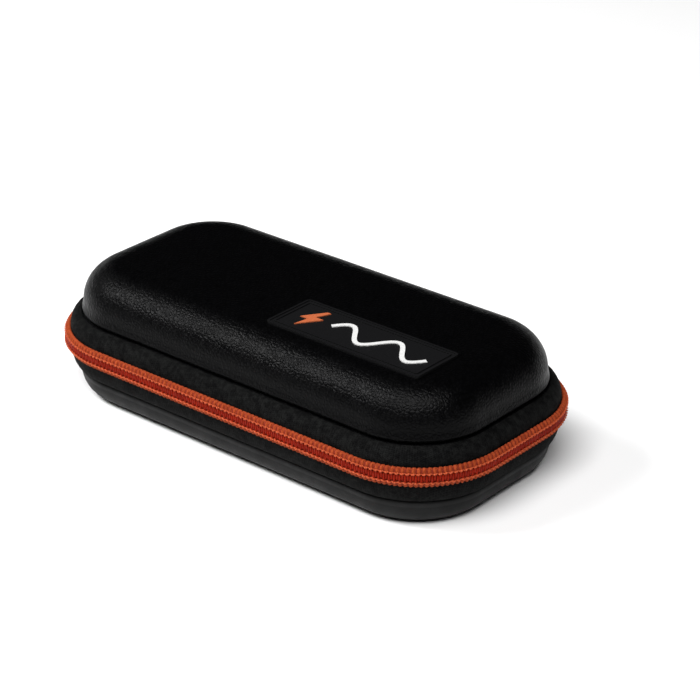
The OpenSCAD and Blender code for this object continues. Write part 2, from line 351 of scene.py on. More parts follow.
class Paint:
    """A node material being put together, with short names for what these materials use."""

    def __init__(self, name, roughness, **sockets):
        self.material = bpy.data.materials.new(name)
        self.material.use_nodes = True
        self.tree = self.material.node_tree
        self.shader = self.tree.nodes["Principled BSDF"]
        self.set("Roughness", roughness)
        for socket, value in sockets.items():
            self.set(socket.replace("_", " "), value)
        self.place = self.node("ShaderNodeTexCoord").outputs["Object"]

    def set(self, socket, value):
        self.shader.inputs[socket].default_value = value

    def node(self, kind, **settings):
        made = self.tree.nodes.new(kind)
        for name, value in settings.items():
            setattr(made, name, value)
        return made

    def wire(self, source, target):
        self.tree.links.new(source, target)

    def cloth_place(self):
        return self.node("ShaderNodeUVMap", uv_map="cloth").outputs["UV"]

    def math(self, operation, a, b=0.0):
        made = self.node("ShaderNodeMath", operation=operation)
        for socket, value in zip(made.inputs, (a, b)):
            if isinstance(value, (int, float)):
                socket.default_value = value
            else:
                self.wire(value, socket)
        return made.outputs[0]

    def noise(self, size, detail=3.0):
        """Noise whose features are about size millimetres across."""
        made = self.node("ShaderNodeTexNoise")
        made.inputs["Scale"].default_value = 1 / (size * MM)
        made.inputs["Detail"].default_value = detail
        self.wire(self.place, made.inputs["Vector"])
        return made.outputs["Fac"]

    def pebbles(self, size):
        """Round-topped cells about size millimetres across, between 0 at their edges and 1."""
        made = self.node("ShaderNodeTexVoronoi", feature="DISTANCE_TO_EDGE")
        made.inputs["Scale"].default_value = 1 / (size * MM)
        self.wire(self.place, made.inputs["Vector"])
        return self.range(made.outputs["Distance"], 0, 1, 0.0, 0.3)

    def ramp(self, value, *stops):
        """Colours along a value. stops are (position, colour)."""
        made = self.node("ShaderNodeValToRGB")
        bar = made.color_ramp
        while len(bar.elements) < len(stops):
            bar.elements.new(0.5)
        for element, (position, colour) in zip(bar.elements, stops):
            element.position = position
            element.color = (*colour, 1)
        self.wire(value, made.inputs[0])
        return made.outputs[0]

    def mix(self, factor, a, b):
        made = self.node("ShaderNodeMix", data_type="RGBA")
        colours = [socket for socket in made.inputs if socket.type == "RGBA"]
        for source, target in zip((factor, a, b), (made.inputs["Factor"], *colours)):
            self.wire(source, target)
        return next(socket for socket in made.outputs if socket.type == "RGBA")

    def range(self, value, low, high, from_low=0.0, from_high=1.0):
        """A value carried from one span to another, and held at its ends."""
        made = self.node("ShaderNodeMapRange")
        for name, number in zip(
            ("From Min", "From Max", "To Min", "To Max"), (from_low, from_high, low, high)
        ):
            made.inputs[name].default_value = number
        self.wire(value, made.inputs["Value"])
        return made.outputs[0]

    def split(self, vector):
        made = self.node("ShaderNodeSeparateXYZ")
        self.wire(vector, made.inputs[0])
        return made.outputs

    def wave(self, value, period):
        """A sine of a value in millimetres, between 0 and 1."""
        turned = self.math("SINE", self.math("MULTIPLY", value, 2 * math.pi / period))
        return self.range(turned, 0, 1, -1, 1)

    def bump(self, height, depth, strength=1.0):
        """Raises the surface by height times depth millimetres, on top of any bump before it."""
        made = self.node("ShaderNodeBump")
        made.inputs["Distance"].default_value = depth * MM
        made.inputs["Strength"].default_value = strength
        self.wire(height, made.inputs["Height"])
        normal = self.shader.inputs["Normal"]
        if normal.is_linked:
            self.wire(normal.links[0].from_socket, made.inputs["Normal"])
        self.wire(made.outputs[0], normal)

    def colour(self, source):
        self.wire(source, self.shader.inputs["Base Color"])

    def rough(self, source):
        self.wire(source, self.shader.inputs["Roughness"])


def pebbled_leather():
    p = Paint("pebbled_leather", 0.36, Specular_IOR_Level=0.06)
    pebbles = p.pebbles(1.15)
    patches = p.noise(3.2, 3)
    p.colour(p.ramp(pebbles, (0.1, (0.0004, 0.0004, 0.0005)), (0.8, (0.0013, 0.0013, 0.0015))))
    p.rough(p.range(patches, 0.31, 0.42, 0.3, 0.7))
    p.bump(p.noise(0.4, 2), 0.03)
    p.bump(pebbles, 0.07)
    p.bump(patches, 0.08)
    return p.material


def fine_grained_skin():
    p = Paint("fine_grained_skin", 0.55, Specular_IOR_Level=0.11)
    p.colour(p.ramp(p.noise(6, 5), (0.3, (0.006, 0.0061, 0.0062)), (0.7, (0.0092, 0.0094, 0.0095))))
    p.rough(p.range(p.noise(5, 4), 0.48, 0.64, 0.3, 0.7))
    p.bump(p.pebbles(0.55), 0.02)
    p.bump(p.noise(1.8, 3), 0.05, 0.6)
    return p.material


def woven(name, dark, light, warp, weft):
    """Cloth with crossing threads: warp and weft are the threads' spacings in millimetres."""
    p = Paint(name, 0.8, Specular_IOR_Level=0.05)
    u, v, _ = p.split(p.cloth_place())
    twist = p.math("MULTIPLY", p.noise(1.6, 2), 0.5)
    across = p.wave(p.math("ADD", u, twist), warp)
    down = p.wave(p.math("ADD", v, p.math("MULTIPLY", u, weft / warp / 2)), weft)
    thread = p.math("MAXIMUM", across, down)
    mottle = p.math("MULTIPLY", p.noise(2.4, 3), p.noise(0.9, 3))
    p.colour(p.ramp(p.math("MULTIPLY", p.range(thread, 0.6, 1), mottle), (0.13, dark), (0.34, light)))
    p.bump(thread, 0.09)
    p.bump(p.noise(0.5, 3), 0.05, 0.7)
    return p.material


def ribbed(name, dark, light, rib, cross):
    """Narrow woven ribbon or elastic, ribbed across its length."""
    p = Paint(name, 0.78, Sheen_Weight=0.04, Sheen_Roughness=0.4, Specular_IOR_Level=0.15)
    u, v, _ = p.split(p.cloth_place())
    ribs = p.wave(u, rib)
    threads = p.wave(v, cross)
    height = p.math("ADD", p.math("MULTIPLY", ribs, 0.75), p.math("MULTIPLY", threads, 0.25))
    p.colour(p.ramp(p.math("MULTIPLY", height, p.noise(1.2, 3)), (0.08, dark), (0.6, light)))
    p.bump(height, 0.12)
    return p.material


def brushed_lining():
    p = Paint("brushed_lining", 0.92, Sheen_Weight=0.08, Sheen_Roughness=0.6, Specular_IOR_Level=0.15)
    nap = p.noise(0.45, 5)
    shade = p.math("MULTIPLY", nap, p.noise(7, 3))
    p.colour(p.ramp(shade, (0.1, (0.006, 0.006, 0.0065)), (0.45, (0.019, 0.019, 0.02))))
    p.bump(nap, 0.12, 0.8)
    return p.material


def coil_plastic():
    """Bare plastic at the heads, and a fuzz of lighter thread round the tails, by the cloth map's height."""
    p = Paint("orange_coil", 0.5, Specular_IOR_Level=0.07)
    height = p.split(p.cloth_place())[0]
    wrapped = p.range(height, 0, 1, WRAP_V - 0.25, WRAP_V + 0.4)
    bare = p.ramp(p.noise(3.5, 4), (0.3, (0.18, 0.008, 0.002)), (0.7, (0.26, 0.013, 0.003)))
    thread = p.ramp(p.noise(1.1, 4), (0.3, (0.21, 0.030, 0.008)), (0.7, (0.34, 0.056, 0.016)))
    p.colour(p.mix(wrapped, bare, thread))
    p.rough(p.range(wrapped, 0.42, 0.72))
    p.bump(p.math("MULTIPLY", p.noise(0.35, 2), wrapped), 0.05)
    return p.material


def coil_core():
    p = Paint("dark_orange_cord", 0.8, Specular_IOR_Level=0.2)
    p.colour(p.ramp(p.noise(0.7, 3), (0.3, (0.15, 0.012, 0.004)), (0.7, (0.22, 0.024, 0.009))))
    p.bump(p.noise(0.4, 2), 0.1)
    return p.material


def sewing_thread(name, dark, light):
    p = Paint(name, 0.62, Specular_IOR_Level=0.08)
    u, v, _ = p.split(p.cloth_place())
    ply = p.wave(p.math("ADD", u, p.math("MULTIPLY", v, 0.12)), 0.45)
    p.colour(p.ramp(ply, (0.1, dark), (0.8, light)))
    p.bump(ply, 0.05)
    return p.material


def moulded_rubber(name, colour, roughness=0.62, grain=0.6, depth=0.04):
    p = Paint(name, roughness, Specular_IOR_Level=0.12)
    shade = p.noise(grain, 3)
    p.colour(p.ramp(shade, (0.25, [0.72 * c for c in colour]), (0.75, colour)))
    p.bump(shade, depth)
    return p.material


def enamelled_metal():
    p = Paint("black_enamel", 0.34, Metallic=0.35, Specular_IOR_Level=0.45)
    patches = p.noise(1.3, 4)
    p.colour(p.ramp(patches, (0.3, (0.010, 0.010, 0.011)), (0.75, (0.020, 0.020, 0.021))))
    p.rough(p.range(patches, 0.3, 0.42, 0.3, 0.7))
    p.bump(p.noise(0.3, 2), 0.012)
    return p.material


LEATHER = pebbled_leather()
SKIN = fine_grained_skin()
TAPE = woven("woven_tape", (0.0011, 0.0011, 0.0012), (0.0068, 0.007, 0.0068), 0.85, 0.62)
BINDING = ribbed("binding_tape", (0.003, 0.003, 0.0033), (0.022, 0.022, 0.023), 0.55, 0.4)
RIBBON = ribbed("hinge_ribbon", (0.003, 0.003, 0.0033), (0.026, 0.026, 0.027), 0.8, 0.5)
ELASTIC = ribbed("ribbed_elastic", (0.004, 0.004, 0.0045), (0.035, 0.035, 0.037), 1.1, 0.9)
LINING = brushed_lining()
COIL = coil_plastic()
CORE = coil_core()
ORANGE_THREAD = sewing_thread("orange_thread", (0.29, 0.04, 0.014), (0.50, 0.095, 0.036))
BLACK_THREAD = sewing_thread("black_thread", (0.008, 0.008, 0.009), (0.05, 0.05, 0.052))
NET = moulded_rubber("net_yarn", (0.045, 0.045, 0.048), 0.75, 0.3, 0.05)
LABEL = moulded_rubber("label_rubber", (0.0045, 0.0045, 0.005), 0.6, 0.5, 0.06)
EMBLEM = moulded_rubber("orange_rubber", (0.50, 0.125, 0.048), 0.55)
WAVE = moulded_rubber("white_rubber", (0.72, 0.72, 0.71), 0.55)
GRIP = moulded_rubber("grip_rubber", (0.014, 0.014, 0.015), 0.6, 0.4, 0.03)
METAL = enamelled_metal()
STOP = moulded_rubber("stop_plastic", (0.016, 0.016, 0.017), 0.45, 0.8, 0.02)


def finish_piece(piece, material, body, slot, *nodes):
    """Gives a piece its material and its body, and hides the CAD nodes that it stands for.
    """
    piece.data.materials.append(material)
    if body:
        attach(piece, body)
    if nodes:
        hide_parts(*nodes)


# --- Sections -------------------------------------------------------------------------------------------

def tape_curve(half, t, low=0, steps=12):
    """The tape's face from beside the coil to the seam, moved inwards by t."""
    return [
        (
            half["seam"] - (half["seam"] - COIL_T - t) * math.cos(a),
            COIL_HALF + (half["seam_h"] - COIL_HALF - t) * math.sin(a),
        )
        for a in np.radians(np.linspace(low, 90, steps))
    ]


def edge_curve(half, t, steps=14):
    """The round edge from the flat face out to the upright wall, moved inwards by t."""
    r = half["edge_r"]
    return [
        (half["wall"] + r - (r - t) * math.cos(a), half["h"] - r + (r - t) * math.sin(a))
        for a in np.radians(np.linspace(90, 0, steps))
    ]


def rim_point(half, t):
    inset, height = tape_curve(half, TAPE_T, RIM_ANGLE, 2)[0]
    return (inset + WALL_T + t, height)


def shoulder_point(half, t):
    return (half["wall"] + WALL_T + t, half["seam_h"] + 1)


def flat_rings(inset, height, to=28.5, step=3.5):
    """Rings across the flat face, from well inside out to the round edge."""
    n = round((to - inset) / step)
    return [(to + (inset - to) * i / n, height) for i in range(n)]


def foot_curve(half):
    """The moulding's foot, rolled under into the seam's groove."""
    wall, seam_h = half["wall"], half["seam_h"]
    deep = max(half["seam"], wall)
    return [
        (wall - 0.18, seam_h + 2.6),
        (wall - 0.42, seam_h + 1.75),
        (wall - 0.5, seam_h + 1.25),
        (wall - 0.38, seam_h + 0.8),
        (wall - 0.02, seam_h + 0.45),
        (deep + 0.55, seam_h + 0.22),
        (deep + 0.75, seam_h + 0.05),
    ]


def shell_section(half):
    outer = edge_curve(half, 0)
    inner = edge_curve(half, WALL_T, 8)
    return [
        *flat_rings(outer[0][0], outer[0][1]),
        *outer,
        *foot_curve(half),
        *tape_curve(half, TAPE_T, RIM_ANGLE, 6)[::-1],
        rim_point(half, 0),
        shoulder_point(half, 0),
        *inner[::-1],
        *flat_rings(inner[0][0], inner[0][1])[::-1],
    ]


def lining_section(half):
    outer = edge_curve(half, WALL_T, 10)
    inner = edge_curve(half, WALL_T + LINING_T, 10)
    return [
        *flat_rings(outer[0][0], outer[0][1]),
        *outer,
        shoulder_point(half, 0),
        rim_point(half, 0),
        rim_point(half, LINING_T),
        shoulder_point(half, LINING_T),
        *inner[::-1],
        *flat_rings(inner[0][0], inner[0][1])[::-1],
    ]


# --- Foam mouldings and linings -------------------------------------------------------------------------

RIPPLE_SIZE = 17.0


def ripple(points, depth, seed):
    """Small slow unevenness of a pressed surface: how far each point moves outwards, in millimetres."""
    return np.array([noise.noise(Vector(p / RIPPLE_SIZE) + Vector((seed, 0, 0))) * depth for p in points])


def moulded(name, half, section, depth=0.0, seed=0):
    """A bowl of the section, very slightly uneven where it is upright."""
    swept = sweep(WHOLE, section, half["side"], closed_section=False)
    points, faces, uvs = capped(swept, len(section), half["side"])
    heights = np.abs(points[:, 2] - ZIP_Z)
    upright = np.clip((half["h"] - heights) / 3.0, 0, 1)
    centre = np.clip(points[:, :2], [-REACH_X, MIDDLE_Y - REACH_Y], [REACH_X, MIDDLE_Y + REACH_Y])
    away = points[:, :2] - centre
    away /= np.maximum(np.linalg.norm(away, axis=1), 1e-6)[:, None]
    points[:, :2] += away * (ripple(points, depth, seed) * upright)[:, None]
    return mesh_object(name, points, faces, uvs, sharp=50)


def make_mouldings():
    for half, material, depth, seed in ((LID, LEATHER, 0.12, 3), (BASE, SKIN, 0.10, 11)):
        body = half["body"]
        shell = moulded(body + "_moulding", half, shell_section(half), depth, seed)
        finish_piece(shell, material, body, body + "_shell", body + "_shell")
    for half in HALVES:
        body = half["body"]
        lining = moulded(body + "_cloth_lining", half, lining_section(half))
        finish_piece(lining, LINING, body, "lining", body + "_lining")


# --- Tapes and bindings ---------------------------------------------------------------------------------

def puckered(half):
    """How the seam's stitches pull at the tape's face, as a shape for sweep."""
    def shape(s, inset, height):
        bulge = np.clip((height - 4.0) / 1.5, 0, 1) * np.clip((half["seam_h"] - height) / 1.0, 0, 1)
        outer = inset < COIL_T + 2.8
        slow = np.sin(2 * math.pi * s * 11 / WHOLE.length) * 0.05
        quick = np.sin(2 * math.pi * s * 150 / WHOLE.length) * 0.035
        return inset - bulge * outer * (slow + quick), height
    return shape


def make_tapes():
    """Each tape runs from the gap beside the coil round to the seam, and puckers a little at its stitches."""
    for half in HALVES:
        body = half["body"]
        section = [
            *tape_curve(half, 0)[::-1],
            (COIL_T, 2.2),
            (COIL_T, TAPE_GAP + 0.1),
            (COIL_T + 0.1, TAPE_GAP),
            (COIL_T + TAPE_T - 0.1, TAPE_GAP),
            (COIL_T + TAPE_T, TAPE_GAP + 0.1),
            *tape_curve(half, TAPE_T),
        ]
        swept = sweep(WHOLE, section, half["side"], arc=0.7, straight=0.8, shape=puckered(half))
        tape = mesh_object(body + "_tape", *swept, sharp=60)
        finish_piece(tape, TAPE, body, "zip_tape", body + "_zip_tape")


def make_bindings():
    """Ribbon folded round each rim, with a row of stitches on its inner lap."""
    for half in HALVES:
        body, side = half["body"], half["side"]
        outer = np.array(rim_point(half, -WALL_T))
        inner = np.array(rim_point(half, LINING_T))
        up = np.array(shoulder_point(half, LINING_T)) - inner
        lap = inner + up * 0.4
        section = [
            outer + (0.06, 0),
            outer + (0.06, -0.38),
            outer + (0.28, -0.6),
            inner + (0.1, -0.6),
            inner + (0.42, -0.5),
            inner + (0.62, -0.2),
            lap + (0.5, -0.42),
            lap + (0.34, -0.1),
            lap,
            inner,
        ]
        ribbon = mesh_object(body + "_rim_binding", *sweep(WHOLE, section, side, straight=2.0), sharp=60)
        finish_piece(ribbon, BINDING, body, "binding", body + "_edge_binding")
        inset, height = inner + up * 0.24 + (0.52, -0.3)
        row = sewn_line(WHOLE, (inset, ZIP_Z + side * height), (inset + 0.8, ZIP_Z + side * (height - 0.6)))
        sewn = stitches(row, 0, WHOLE.length, length=2.2, gap=0.7, radius=0.14, lift=0.1)
        finish_piece(mesh_object(body + "_rim_binding_stitches", *sewn), BLACK_THREAD, body, "thread")


# --- Coil chain -----------------------------------------------------------------------------------------

def eased(t):
    """From 0 to 1, level at both ends."""
    t = np.clip(t, 0, 1)
    return t * t * (3 - 2 * t)


def squarer(wave):
    """A sine made squarer, so that a turn of the coil is an oblong with round corners."""
    return np.sign(wave) * np.abs(wave) ** (2 / TURN_SQUARENESS)


def parted(s):
    """How far each half of the chain stands off where the slider's post parts it."""
    full, none = math.radians(SPLIT_FULL) * CORNER_R, math.radians(SPLIT_NONE) * CORNER_R
    return SPLIT_LIFT * eased((none - s) / (none - full))


def phase(side):
    """The lid's turns lie halfway between the base's."""
    return 0.5 if side > 0 else 0.0


def coil_turns(side):
    """One half of the chain. Each turn runs straight across its face and steps on to the next behind it.

    Its head locks between the other half's heads, and its tail is thick with the thread that holds it down.
    """
    turns = int((CHAIN.length - 2 * CHAIN_MARGIN) / PITCH)
    turn = np.arange(turns * TURN_POINTS) / TURN_POINTS
    a = 2 * math.pi * (turn % 1)
    v = (HEAD_V + TAIL_V) / 2 + (TAIL_V - HEAD_V) / 2 * squarer(np.sin(a))
    radius = WIRE_R + (WRAPPED_R - WIRE_R) * eased((v - WRAP_V) / 0.5)
    inset = TURN_INSET - TURN_HALF_T * squarer(np.cos(a))
    inset += 0.5 * (np.clip(v, 0, None) / TAIL_V) ** 2 * (1.7 - inset) / 1.2
    stepped = np.clip((turn % 1 - 0.25) * 4, 0, 1)
    s = CHAIN_MARGIN + PITCH * (np.floor(turn) + stepped + phase(side))
    s = np.minimum(s, CHAIN.length - CHAIN_MARGIN)
    return tube(CHAIN.points(s, inset, ZIP_Z + side * (v + parted(s))), radius, 8, marks=v)


def coil_cord(side):
    """The cord that fills the inside of the turns."""
    section = [(0.95, 1.2), (0.62, 1.45), (0.66, 1.9), (0.98, 2.6), (1.5, 2.8), (1.75, 2.8), (1.75, 1.2)]
    return sweep(CHAIN, section, side, shape=lambda s, inset, height: (inset, height + parted(s)))


def coil_stitch(side):
    """Thread sewn along the chain, in a knot over every turn and down into the gaps between them."""
    s = np.linspace(0.9, CHAIN.length - 0.9, int(CHAIN.length / PITCH * 10))
    a = 2 * math.pi * ((s - CHAIN_MARGIN) / PITCH - phase(side))
    rise = np.cos(a)
    inset = 0.3 - 0.17 * rise
    height = 1.5 + 0.12 * np.sin(a)
    return tube(CHAIN.points(s, inset, ZIP_Z + side * (height + parted(s))), 0.24 + 0.08 * rise, 6)


def make_chain():
    for half in HALVES:
        body, side = half["body"], half["side"]
        for name, part, material, *nodes in (
            ("_coil", coil_turns(side), COIL, body + "_zip_coil"),
            ("_coil_cord", coil_cord(side), CORE),
            ("_coil_thread", coil_stitch(side), ORANGE_THREAD),
        ):
            finish_piece(mesh_object(body + name, *part), material, body, "zip_coil", *nodes)


# --- Hinge ----------------------------------------------------------------------------------------------

RIBBON_HALF = 6.3
RIBBON_T = 0.45
RIBBON_ROW = 5.5
RIBBON_MARGIN = 1.5
CLOTH_HALF = 4.6
CLOTH_T = 0.5


def ribbon_inset(v):
    """Inset of the ribbon's face: upright over the coil's place, then leaning in with the tape."""
    return COIL_T - 0.5 + 0.62 * (max(abs(v) - COIL_HALF, 0) / 3.1) ** 2


def hinge_ribbon(route):
    face = [(ribbon_inset(v), v) for v in np.linspace(0, RIBBON_HALF, 15)]
    outer = [*face[::-1], *[(i, -v) for i, v in face[1:]]]
    back = [(i + RIBBON_T, v) for i, v in outer[::-1]]
    return mesh_object("hinge_ribbon", *sweep(route, [*outer, *back], arc=1.2, straight=1.5), sharp=60)


def hinge_stitches(route):
    """A row along each edge of the ribbon."""
    rows = []
    for v in (-RIBBON_ROW, RIBBON_ROW):
        inset = ribbon_inset(v)
        row = sewn_line(route, (inset, ZIP_Z + v), (inset - 1, ZIP_Z + v))
        last = route.length - RIBBON_MARGIN
        rows.append(stitches(row, RIBBON_MARGIN, last, length=2.4, gap=0.8, radius=0.15, lift=0.12))
    return mesh_object("hinge_ribbon_stitches", *merged(rows))


def hinge_cloth():
    """The linings' cloth across the straight back, a little slack in the middle."""
    straight = Route([(0, *corner(0), math.pi / 2), (2 * REACH_X, *corner(1), math.pi / 2)])
    near = COIL_T + TAPE_T + 0.3
    fold = [
        (near + 0.15 * math.sin(math.pi * (v + CLOTH_HALF) / (2 * CLOTH_HALF)) ** 2, v)
        for v in np.linspace(CLOTH_HALF, -CLOTH_HALF, 17)
    ]
    section = [*fold, *[(i + CLOTH_T, v) for i, v in fold[::-1]]]
    return mesh_object("hinge_cloth", *sweep(straight, section), sharp=60)


def make_hinge():
    """A ribbon over both tapes at the back, and the lining's cloth behind them."""
    route = around(HINGE_START, HINGE_END)
    for piece, material, slot, *nodes in (
        (hinge_ribbon(route), RIBBON, "binding", "hinge_strip"),
        (hinge_stitches(route), BLACK_THREAD, "thread"),
        (hinge_cloth(), LINING, "lining", "hinge_lining"),
    ):
        finish_piece(piece, material, None, slot, *nodes)
        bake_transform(piece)


# --- Strap and net --------------------------------------------------------------------------------------

def grid_sheet(xs, ys, height, thickness):
    """A closed sheet over a grid, with its top at height(x, y). Its cloth map runs along y."""
    nx, ny = len(xs), len(ys)
    points = []
    for layer in (0, -thickness):
        points += [(x, y, height(x, y) + layer) for y in ys for x in xs]

    def index(i, j, layer):
        return layer * nx * ny + j * nx + i

    faces, uvs = [], []
    for j in range(ny - 1):
        for i in range(nx - 1):
            square = [(i, j), (i + 1, j), (i + 1, j + 1), (i, j + 1)]
            for layer, order in ((0, 1), (1, -1)):
                faces.append([index(*q, layer) for q in square][::order])
                uvs += [(ys[q[1]], xs[q[0]]) for q in square][::order]
    rim = [(i, 0) for i in range(nx)] + [(nx - 1, j) for j in range(1, ny)]
    rim += [(i, ny - 1) for i in range(nx - 2, -1, -1)] + [(0, j) for j in range(ny - 2, 0, -1)]
    for a, b in zip(rim, [*rim[1:], rim[0]]):
        faces.append([index(*b, 0), index(*a, 0), index(*a, 1), index(*b, 1)])
        uvs += [(ys[q[1]], xs[q[0]]) for q in (b, a, a, b)]
    return points, faces, uvs


def bevel(piece, width):
    """Rounds a piece's sharp edges."""
    modifier = piece.modifiers.new("soft_edges", "BEVEL")
    modifier.width = width * MM
    modifier.segments = 3
    modifier.limit_method = "ANGLE"
    modifier.angle_limit = math.radians(30)


def bar_tacks(z):
    """Two zigzags of thread across each end of the strap."""
    low, high = (mm(c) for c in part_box("strap_bar_tacks"))
    points, across = 46, 7.6
    t = np.linspace(0, 1, points)
    zigzag = np.where(np.arange(points) % 2, 0.8, -0.8)
    tacks = []
    for y in (low[1] + 1, high[1] - 1):
        for x in (-6.25, 6.25):
            tacks.append(tube(np.stack([x + (t - 0.5) * across, y + zigzag, 0 * t + z], -1), 0.15, 6))
    return mesh_object("strap_stitching", *merged(tacks))


def make_strap():
    """Elastic sewn down at both ends, bowed a little between them and thinner along its edges."""
    low, high = (mm(c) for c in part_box("elastic_strap"))
    middle, half_w = (low[1] + high[1]) / 2, (high[0] - low[0]) / 2
    half_l = (high[1] - low[1]) / 2

    def height(x, y):
        bow = 0.5 * (1 - ((y - middle) / half_l) ** 2)
        waver = 0.05 * math.sin(x * 1.9) * math.sin(y * 0.31)
        return high[2] - 0.12 * (x / half_w) ** 8 + bow + waver

    xs, ys = np.linspace(low[0], high[0], 41), np.linspace(low[1], high[1], 61)
    strap = mesh_object("elastic_band", *grid_sheet(xs, ys, height, high[2] - low[2]), sharp=60)
    bevel(strap, 0.25)
    finish_piece(strap, ELASTIC, "base", "elastic", "elastic_strap")
    sewn = bar_tacks(high[2] + 0.22)
    finish_piece(sewn, BLACK_THREAD, "base", "thread", "strap_bar_tacks")


NET_INSET = 9.05
NET_SIDE = 1.4
YARN_T = 0.48
HEM_SIDES = 16


def inside(x, y, inset):
    """True where a point lies within the outline at this inset."""
    dx, dy = max(abs(x) - REACH_X, 0), max(abs(y - MIDDLE_Y) - REACH_Y, 0)
    return math.hypot(dx, dy) <= CORNER_R - inset


def honeycomb(low, high):
    """Points and faces of the net's hexagonal holes, with a little sag."""
    points, faces, found = [], [], {}

    def corner_at(x, y):
        key = (round(x, 2), round(y, 2))
        if key not in found:
            found[key] = len(points)
            across = math.cos(math.pi * x / (high[0] - low[0]))
            along_y = math.sin(math.pi * (high[1] - y) / (high[1] - low[1]))
            points.append((x, y, (low[2] + high[2]) / 2 - 0.5 * across * along_y))
        return found[key]

    rise = NET_SIDE * math.sqrt(3)
    for column in range(math.ceil((high[0] - low[0]) / (1.5 * NET_SIDE))):
        x = low[0] + column * 1.5 * NET_SIDE
        first = low[1] - NET_SIDE + (column % 2) * rise / 2
        for row in range(math.ceil((high[1] - first) / rise)):
            y = first + row * rise
            ring = [
                (x + NET_SIDE * math.cos(math.pi / 3 * k), y + NET_SIDE * math.sin(math.pi / 3 * k))
                for k in range(6)
            ]
            if all(inside(*q, NET_INSET) and low[1] - 0.6 <= q[1] for q in ring):
                faces.append([corner_at(*q) for q in ring])
    return points, faces


def net_hem():
    """A flattened elastic tube along the net's open edge, gathered in small uneven waves."""
    low, high = (mm(c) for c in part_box("mesh_pocket_hem"))
    middle = [(low[i] + high[i]) / 2 for i in range(3)]
    half = [(high[i] - low[i]) / 2 for i in range(3)]
    rings = []
    xs = np.linspace(low[0] + 0.1, high[0] - 0.1, 260)
    for x in xs:
        gather = 0.10 * math.sin(x * 2.6) + 0.05 * math.sin(x * 5.9 + 1)
        for k in range(HEM_SIDES):
            t = -2 * math.pi * k / HEM_SIDES
            sy, sz = (math.copysign(abs(f) ** 0.6, f) for f in (math.cos(t), math.sin(t)))
            rings.append((x, middle[1] + (half[1] - 0.1) * sy, middle[2] + (half[2] - 0.15 + gather) * sz))
    faces, uvs = ring_faces(len(xs), HEM_SIDES), ring_uvs(xs, HEM_SIDES, 0.6)
    return mesh_object("lid_net_hem", rings, faces, uvs, sharp=70)


def make_net():
    """A net of yarn stretched over the lid's back half."""
    low, high = (mm(c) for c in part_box("mesh_pocket"))
    net = mesh_object("lid_net", *honeycomb(low, high))
    yarn = net.modifiers.new("yarn", "WIREFRAME")
    yarn.thickness = YARN_T * MM
    yarn.use_even_offset = False
    finish_piece(net, NET, "lid", "net", "mesh_pocket")
    hem = net_hem()
    finish_piece(hem, ELASTIC, "lid", "elastic", "mesh_pocket_hem")


# --- Slider and pull ------------------------------------------------------------------------------------

OUT = np.array((math.cos(math.radians(SLIDER_ANGLE)), math.sin(math.radians(SLIDER_ANGLE)), 0))
ALONG = np.array((-OUT[1], OUT[0], 0))
UP = np.array((0, 0, 1))
SLIDER = np.array(PIVOT) + OUT * CORNER_R
BAIL_U = math.dist(BAIL[:2], PIVOT[:2]) - CORNER_R

GRIP_TOP = -5.4
GRIP_BOTTOM = -15.0
GRIP_HALF_W = 3.5
GRIP_HALF_T = 1.3
GRIP_SIDES = 28
GRIP_ROWS = 61
RIB_RISE = 0.28
RIB_PITCH = 1.7
RIB_MIDDLE = -9.55
RIB_FROM = -13.2
RIB_TO = -7.0


def at_slider(points):
    """Points given outwards, along the zip and up from the coil's face at the slider, put in place."""
    return np.array([SLIDER + OUT * u + ALONG * t + UP * v for u, t, v in points])


def make_bail():
    """A bent wire that bridges the slider's front plate."""
    foot, half, bend = 1.3, 3.0, 1.1
    path = [(foot, -half, 0), (BAIL_U - bend, -half, 0)]
    path += [
        (BAIL_U - bend + bend * math.sin(a), -half + bend * (1 - math.cos(a)), 0)
        for a in np.linspace(0.15, math.pi / 2, 7)
    ]
    path += [(u, -t, v) for u, t, v in path[::-1]]
    wire = mesh_object("slider_bridge", *tube(at_slider(path), 0.6, 16))
    finish_piece(wire, METAL, "slider", "zip_metal", "slider_bail")


def quarter_round(t):
    """What a round corner takes off at t of the way in from its end: 1 at 0, and nothing from 1 on."""
    return 1 - math.sqrt(1 - (1 - min(1.0, t)) ** 2)


def make_grip():
    """Rubber moulded over the pull's link, with a round foot and cross ribs on both faces."""
    rings = []
    for v in np.linspace(GRIP_TOP, GRIP_BOTTOM, GRIP_ROWS):
        from_end = min(GRIP_TOP - v, v - GRIP_BOTTOM)
        below_middle = v < (GRIP_TOP + GRIP_BOTTOM) / 2
        w = GRIP_HALF_W - 2.4 * quarter_round(from_end / 2.4) * below_middle
        edge = 0.5 * quarter_round(from_end / 0.5)
        from_rib = (v - RIB_MIDDLE + RIB_PITCH / 2) % RIB_PITCH - RIB_PITCH / 2
        rib = RIB_RISE * math.exp(-(from_rib / 0.42) ** 2) * (RIB_FROM < v < RIB_TO)
        for k in range(GRIP_SIDES):
            a = 2 * math.pi * k / GRIP_SIDES
            c, s = (math.copysign(abs(f) ** 0.45, f) for f in (math.cos(a), math.sin(a)))
            lift = rib * (1 - abs(c) ** 6)
            rings.append((BAIL_U + (GRIP_HALF_T - edge - RIB_RISE + lift) * s, (w - edge) * c, v))
    grip = mesh_object("pull_rubber_grip", at_slider(rings), ring_faces(GRIP_ROWS, GRIP_SIDES), sharp=50)
    finish_piece(grip, GRIP, "pull", "pull_rubber", "pull_grip")


# --- CAD nodes that keep their shape --------------------------------------------------------------------

